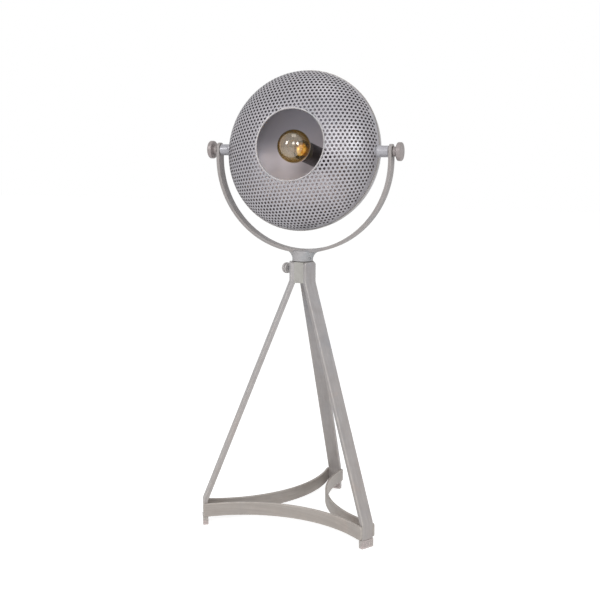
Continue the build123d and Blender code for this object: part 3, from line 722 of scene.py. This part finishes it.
for side_name, side in (("left", -1), ("right", 1)):
    points, faces = weld_bead(side)
    make_piece(f"collar_weld_{side_name}", points, faces, "yoke", [], [(collar_paint, len(faces))])

points, faces = lathe(GRUB_RING, UP * GRUB_Z, Vector((math.cos(GRUB_ANGLE), math.sin(GRUB_ANGLE), 0)),
                      GRUB_RING_STEPS, closed=True)
make_piece("collar_grub_ring", points, faces, "yoke", [], [(collar_paint, len(faces))])


# ---------------------------------------------------------------- perforated dome

DOME_RADIUS = 109.2
DOME_DEPTH = 54.6
SHELL_WALL = 1.0
OPENING_RADIUS = 49.5

# The rim band lies this far to both sides of the trunnions. A shallow seam parts it from the dome.
RIM_HALF_WIDTH = 1.5
SEAM_WIDTH = 1.2
SEAM_FLOOR_RADIUS = 108.3
SEAM_FLOOR_WALL = 0.8
SEAM_FLOOR_OVERLAP = 0.8
SEAM_STEPS = 180

# The holes stand in rows 60 degrees apart. ROW_ANGLE and HOLE_ORIGIN lay them as in the photo.
PITCH = 5.75
HOLE_RADIUS = 1.82
HOLE_EDGE = 0.22
HOLE_DISH = 0.05
HOLE_STEPS = 12
ROW_ANGLE = math.radians(5.51)
HOLE_ORIGIN = Vector((1.28, 3.89))
PLAIN_MARGIN = 4.5

# The rows slant, so they are counted this many times further than the sheet's radius.
SLANT_MARGIN = 1.3

# Points of neighbouring cells within a step of the last digit, in mm, are one point.
SAME_PLACE_DIGITS = 4
SAME_PLACE = 10**-SAME_PLACE_DIGITS

# How often an edge is halved to find where it crosses a circle.
CLIP_HALVINGS = 26


def dome_table(steps=2400):
    """Arc length from the pole against the meridian's angle, for the dome's ellipse."""
    table = [(0.0, 0.0)]
    length = 0.0
    before = (0.0, DOME_DEPTH)
    for k in range(1, steps + 1):
        angle = math.pi / 2 * k / steps
        here = (DOME_RADIUS * math.sin(angle), DOME_DEPTH * math.cos(angle))
        length += math.dist(before, here)
        table.append((length, angle))
        before = here
    return table


ARC = dome_table()


def angle_at(length):
    """The meridian's angle at an arc length, by halving the table."""
    low, high = 0, len(ARC) - 1
    while high - low > 1:
        middle = (low + high) // 2
        if ARC[middle][0] <= length:
            low = middle
        else:
            high = middle
    share = (length - ARC[low][0]) / (ARC[high][0] - ARC[low][0])
    return ARC[low][1] + (ARC[high][1] - ARC[low][1]) * share


def length_at(angle):
    """The arc length of the table's entry nearest to a meridian's angle."""
    return ARC[round(angle / (math.pi / 2) * (len(ARC) - 1))][0]


def on_dome(flat_point, depth):
    """A point of the flat sheet, pressed into the dome, at a depth under its outer face."""
    angle = angle_at(flat_point.length)
    out = flat_point.normalized()
    normal = Vector((math.sin(angle) / DOME_RADIUS, math.cos(angle) / DOME_DEPTH)).normalized()
    radius = DOME_RADIUS * math.sin(angle) - normal.x * depth
    along = DOME_DEPTH * math.cos(angle) - normal.y * depth
    return TRUNNION + ACROSS * (radius * out.x) + HEAD_UP * (radius * out.y) + FORWARD * along


def clip(polygon, limit, keep_outside):
    """The part of a flat polygon outside or inside a circle about the pole."""
    def kept(p):
        return (p.length >= limit) == keep_outside

    def crossing(a, b):
        if not kept(a):
            a, b = b, a
        for _ in range(CLIP_HALVINGS):
            middle = (a + b) / 2
            if kept(middle):
                a = middle
            else:
                b = middle
        return a

    result = []
    for a, b in zip(polygon, polygon[1:] + polygon[:1]):
        if kept(a):
            result.append(a)
        if kept(a) != kept(b):
            result.append(crossing(a, b))
    return result


def hole_cell(centre, has_hole):
    """One six-sided cell of the flat sheet: quads round its hole, or wedges where it is plain."""
    spokes = []
    for k in range(HOLE_STEPS):
        turn = ROW_ANGLE + 2 * math.pi * k / HOLE_STEPS
        out = Vector((math.cos(turn), math.sin(turn)))
        cell_edge = PITCH / 2 if k % 2 == 0 else PITCH / math.sqrt(3)
        spokes.append([centre + out * reach for reach in (cell_edge, HOLE_RADIUS + HOLE_EDGE, HOLE_RADIUS)])
    polygons = []
    for a, b in zip(spokes, spokes[1:] + spokes[:1]):
        if has_hole:
            polygons += [[a[0], b[0], b[1], a[1]], [a[1], b[1], b[2], a[2]]]
        else:
            polygons.append([a[0], b[0], centre])
    return polygons


def flat_sheet():
    """The dome's sheet before pressing: its points, whether each lies on a hole's edge, and its faces."""
    near = length_at(math.asin(OPENING_RADIUS / DOME_RADIUS))
    far = length_at(math.acos((RIM_HALF_WIDTH + SEAM_WIDTH) / DOME_DEPTH))
    row, next_row = (Vector((math.cos(turn), math.sin(turn))) * PITCH
                     for turn in (ROW_ANGLE, ROW_ANGLE + math.pi / 3))
    index, points, on_edge, faces = {}, [], [], []

    def vertex(p, edge):
        key = (round(p.x, SAME_PLACE_DIGITS), round(p.y, SAME_PLACE_DIGITS))
        if key not in index:
            index[key] = len(points)
            points.append(p)
            on_edge.append(edge)
        return index[key]

    def add_face(polygon, centre, has_hole):
        if any(p.length < near for p in polygon):
            polygon = clip(polygon, near, keep_outside=True)
        if any(p.length > far for p in polygon):
            polygon = clip(polygon, far, keep_outside=False)
        face = []
        for p in polygon:
            v = vertex(p, has_hole and abs((p - centre).length - HOLE_RADIUS) < SAME_PLACE)
            if v not in face:
                face.append(v)
        if len(face) > 2:
            faces.append(face)

    reach = int(far / PITCH * SLANT_MARGIN) + 2
    for i in range(-reach, reach + 1):
        for j in range(-reach, reach + 1):
            centre = HOLE_ORIGIN + row * i + next_row * j
            if near - PITCH < centre.length < far + PITCH:
                has_hole = centre.length + HOLE_RADIUS < far - PLAIN_MARGIN
                for polygon in hole_cell(centre, has_hole):
                    add_face(polygon, centre, has_hole)
    return points, on_edge, faces


def border(faces):
    """The edges that only one face has, each in that face's direction."""
    edges = {}
    for face in faces:
        for a, b in zip(face, face[1:] + face[:1]):
            key = (min(a, b), max(a, b))
            edges[key] = None if key in edges else (a, b)
    return [edge for edge in edges.values() if edge]


def perforated_dome():
    """The dome's points and faces, and how many of the faces are its outer side."""
    flat, on_edge, sheet = flat_sheet()
    count = len(flat)
    dish = [HOLE_DISH if edge else 0.0 for edge in on_edge]
    points = [on_dome(p, depth) for p, depth in zip(flat, dish)]
    points += [on_dome(p, SHELL_WALL - depth) for p, depth in zip(flat, dish)]
    # The flat sheet is seen from the front, where its x runs the other way round the axis.
    faces = [tuple(reversed(face)) for face in sheet]
    faces += [tuple(v + count for v in face) for face in sheet]
    faces += [(a, b, b + count, a + count) for a, b in border(sheet)]
    seam_front = RIM_HALF_WIDTH + SEAM_WIDTH + SEAM_FLOOR_OVERLAP
    seam_inside = SEAM_FLOOR_RADIUS - SEAM_FLOOR_WALL
    seam_floor = [(SEAM_FLOOR_RADIUS, RIM_HALF_WIDTH), (SEAM_FLOOR_RADIUS, seam_front),
                  (seam_inside, seam_front), (seam_inside, RIM_HALF_WIDTH)]
    seam_points, seam_faces = lathe(seam_floor, TRUNNION, FORWARD, SEAM_STEPS, closed=True)
    faces += [tuple(v + len(points) for v in face) for face in seam_faces]
    return points + seam_points, faces, len(sheet)


points, faces, outer_count = perforated_dome()
# The inner side, the walls of the holes and the seam take the near black painted shade.
make_piece("perforated_dome", points, faces, "head", ["front_dome"],
           [(head_paint, outer_count), (inner_painted_shade, len(faces) - outer_count)], sharp=50)


# ---------------------------------------------------------------- rear bowl

BOWL_DEPTH = 76
BOWL_HOLE_RADIUS = 5.1
BOWL_STEPS = 144


def bowl_profile(radius, depth, rings=40):
    """One face of the bowl, from the hole at its back to its rim: (radius, place)."""
    first = math.asin(BOWL_HOLE_RADIUS / radius)
    last = math.acos(RIM_HALF_WIDTH / depth)
    turns = [first + (last - first) * k / rings for k in range(rings + 1)]
    return [(radius * math.sin(turn), -depth * math.cos(turn)) for turn in turns]


outside = bowl_profile(DOME_RADIUS, BOWL_DEPTH)
inside = bowl_profile(DOME_RADIUS - SHELL_WALL, BOWL_DEPTH - SHELL_WALL)
points, faces = lathe(outside + inside[::-1], TRUNNION, FORWARD, BOWL_STEPS, closed=True)
outer_count = BOWL_STEPS * len(outside)
out = [radius / DOME_RADIUS for radius, _ in outside + inside[::-1] for _ in range(BOWL_STEPS)]
make_piece("pressed_rear_bowl", points, faces, "head", ["rear_bowl"],
           [(head_paint, outer_count), (reflector_paint, len(faces) - outer_count)],
           {"out": out}, sharp=50)


# ---------------------------------------------------------------- bulb

GLOBE_RADIUS = 22.5
GLOBE_CENTRE = 34
NECK_RADIUS = 8.75
NECK_BLEND = 12
GLASS_WALL = 0.8
BLEND_STEPS = 8
GLOBE_STEPS = 32
GLASS_STEPS = 96

# The golden cup in the neck: (radius, place along the axis), out along its front and in along its back.
FOOT_CUP = [(0, 2.4), (3, 2.6), (6, 3.3), (7.7, 4.4), (7.8, 3.9), (6.2, 2.5), (3.2, 1.8), (0, 1.6)]


def glass_wall(globe, neck, blend):
    """The meridian of a globe that runs into a neck through a blend: (radius, place) from the neck."""
    # The blend's circle touches the globe from outside and the neck's side.
    across = neck + blend
    along = GLOBE_CENTRE - math.sqrt((globe + blend) ** 2 - across**2)
    sweep = math.atan2(GLOBE_CENTRE - along, across)
    profile = [(neck, 0.0)]
    for k in range(BLEND_STEPS + 1):
        turn = math.pi - sweep * k / BLEND_STEPS
        profile.append((across + blend * math.cos(turn), along + blend * math.sin(turn)))
    start = math.asin((along - GLOBE_CENTRE) / (globe + blend))
    for k in range(1, GLOBE_STEPS):
        turn = start + (math.pi / 2 - start) * k / GLOBE_STEPS
        profile.append((globe * math.cos(turn), GLOBE_CENTRE + globe * math.sin(turn)))
    profile.append((0.0, GLOBE_CENTRE + globe))
    return profile


outside = glass_wall(GLOBE_RADIUS, NECK_RADIUS, NECK_BLEND)
inside = glass_wall(GLOBE_RADIUS - GLASS_WALL, NECK_RADIUS - GLASS_WALL, NECK_BLEND + GLASS_WALL)
points, faces = lathe(outside + inside[::-1], TRUNNION, FORWARD, GLASS_STEPS, closed=True)
bulb_wall = make_piece("bulb_glass_wall", points, faces, "bulb", ["bulb_glass"],
                       [(amber_glass, len(faces))], sharp=60)
# Clear glass lets the lamps through to what is inside it.
bulb_wall.visible_shadow = False

points, faces = lathe(FOOT_CUP, TRUNNION, FORWARD)
make_piece("bulb_foot_cup", points, faces, "bulb", [], [(bulb_foot, len(faces))])


# ---------------------------------------------------------------- lamps and background

# Each lamp is a rectangle that faces LIT_POINT: azimuth and elevation in degrees, distance and size in
# metres, power in watts.
LAMPS = {
    "key": (49, 24, 2.4, (0.6, 0.7), 13.5),
    "middle": (18, 26, 2.4, (0.6, 0.7), 8.5),
    "left": (-31, 27, 2.4, (0.6, 0.7), 13),
    "overhead": (20, 78, 2.2, (0.8, 0.8), 4.3),
}
LIT_POINT = Vector((0, 0, 0.35))

# The world's light on the object, and how bright the background is where it is seen.
WORLD_LIGHT = 0.42
WORLD_SEEN = 1.0
FLOOR_HALF_SIZE = 6
FLOOR_COLOUR = (0.8, 0.8, 0.8, 1)
FLOOR_GLOW = 0.68


def direction(azimuth, elevation):
    """From the object towards a place round it: azimuth 0 is in front, at -Y, and 90 is at +X."""
    turn, lift = math.radians(azimuth), math.radians(elevation)
    return Vector((math.sin(turn) * math.cos(lift), -math.cos(turn) * math.cos(lift), math.sin(lift)))


def area_light(name, azimuth, elevation, distance, size, power):
    light = bpy.data.lights.new(name, "AREA")
    light.shape = "RECTANGLE"
    light.size, light.size_y = size
    light.energy = power
    lamp = bpy.data.objects.new(name, light)
    back = direction(azimuth, elevation)
    lamp.location = LIT_POINT + back * distance
    lamp.rotation_mode = "QUATERNION"
    lamp.rotation_quaternion = (-back).to_track_quat("-Z", "Y")
    bpy.context.scene.collection.objects.link(lamp)


def seen(tree):
    """1 where the camera sees it, also in gloss and through glass, and 0 where it lights the object."""
    light_path = tree.nodes.new("ShaderNodeLightPath")
    total = light_path.outputs["Is Camera Ray"]
    for kind in ("Is Glossy Ray", "Is Transmission Ray"):
        node = tree.nodes.new("ShaderNodeMath")
        node.operation = "MAXIMUM"
        tree.links.new(total, node.inputs[0])
        tree.links.new(light_path.outputs[kind], node.inputs[1])
        total = node.outputs["Value"]
    return total


def white_world():
    """An even light from all round, white where it is seen."""
    world = bpy.data.worlds.new("studio")
    bpy.context.scene.world = world
    world.use_nodes = True
    tree = world.node_tree
    background = tree.nodes["Background"]
    background.inputs["Color"].default_value = (1, 1, 1, 1)
    strength = tree.nodes.new("ShaderNodeMapRange")
    strength.inputs["To Min"].default_value = WORLD_LIGHT
    strength.inputs["To Max"].default_value = WORLD_SEEN
    tree.links.new(seen(tree), strength.inputs["Value"])
    tree.links.new(strength.outputs["Result"], background.inputs["Strength"])


def floor_material():
    """A pale floor that keeps the object's shadow and glows to white where it is seen."""
    material = bpy.data.materials.new("floor")
    material.use_nodes = True
    tree = material.node_tree
    tree.nodes.remove(tree.nodes["Principled BSDF"])
    diffuse = tree.nodes.new("ShaderNodeBsdfDiffuse")
    diffuse.inputs["Color"].default_value = FLOOR_COLOUR
    glow = tree.nodes.new("ShaderNodeEmission")
    both = tree.nodes.new("ShaderNodeAddShader")
    level = tree.nodes.new("ShaderNodeMath")
    level.operation = "MULTIPLY"
    level.inputs[1].default_value = FLOOR_GLOW
    tree.links.new(seen(tree), level.inputs[0])
    tree.links.new(level.outputs["Value"], glow.inputs["Strength"])
    tree.links.new(diffuse.outputs["BSDF"], both.inputs[0])
    tree.links.new(glow.outputs["Emission"], both.inputs[1])
    tree.links.new(both.outputs["Shader"], tree.nodes["Material Output"].inputs["Surface"])
    return material


for lamp_name, settings in LAMPS.items():
    area_light(lamp_name, *settings)

white_world()

floor_corners = [(x * FLOOR_HALF_SIZE, y * FLOOR_HALF_SIZE, 0)
                 for x, y in ((-1, -1), (1, -1), (1, 1), (-1, 1))]
floor_mesh = bpy.data.meshes.new("floor")
floor_mesh.from_pydata(floor_corners, [], [(0, 1, 2, 3)])
floor_mesh.materials.append(floor_material())
floor = bpy.data.objects.new("floor", floor_mesh)
bpy.context.scene.collection.objects.link(floor)


# ---------------------------------------------------------------- camera

# Fitted to the photo: lens and sensor in mm, angles in degrees, places in metres.
CAMERA_LENS = 62.98
CAMERA_SENSOR = 36
CAMERA_AZIMUTH = 21.78
CAMERA_ELEVATION = 9.2
CAMERA_ROLL = 0.16
CAMERA_DISTANCE = 1.46815
CAMERA_TARGET = Vector((-0.00387, 0, 0.31802))
CAMERA_CLIP = (0.05, 30)


def camera_matrix():
    """Where the camera stands and how it is turned."""
    back = direction(CAMERA_AZIMUTH, CAMERA_ELEVATION)
    level_right = (-back).cross(UP).normalized()
    level_up = level_right.cross(-back)
    roll = math.radians(CAMERA_ROLL)
    right = level_right * math.cos(roll) + level_up * math.sin(roll)
    upward = level_up * math.cos(roll) - level_right * math.sin(roll)
    turned = Matrix((right, upward, back)).transposed().to_4x4()
    return Matrix.Translation(CAMERA_TARGET + back * CAMERA_DISTANCE) @ turned


camera_data = bpy.data.cameras.new("camera")
camera_data.sensor_width = CAMERA_SENSOR
camera_data.lens = CAMERA_LENS
camera_data.clip_start, camera_data.clip_end = CAMERA_CLIP
camera = bpy.data.objects.new("camera", camera_data)
bpy.context.scene.collection.objects.link(camera)
bpy.context.scene.camera = camera
camera.matrix_world = camera_matrix()

bpy.context.scene.view_settings.view_transform = "Standard"
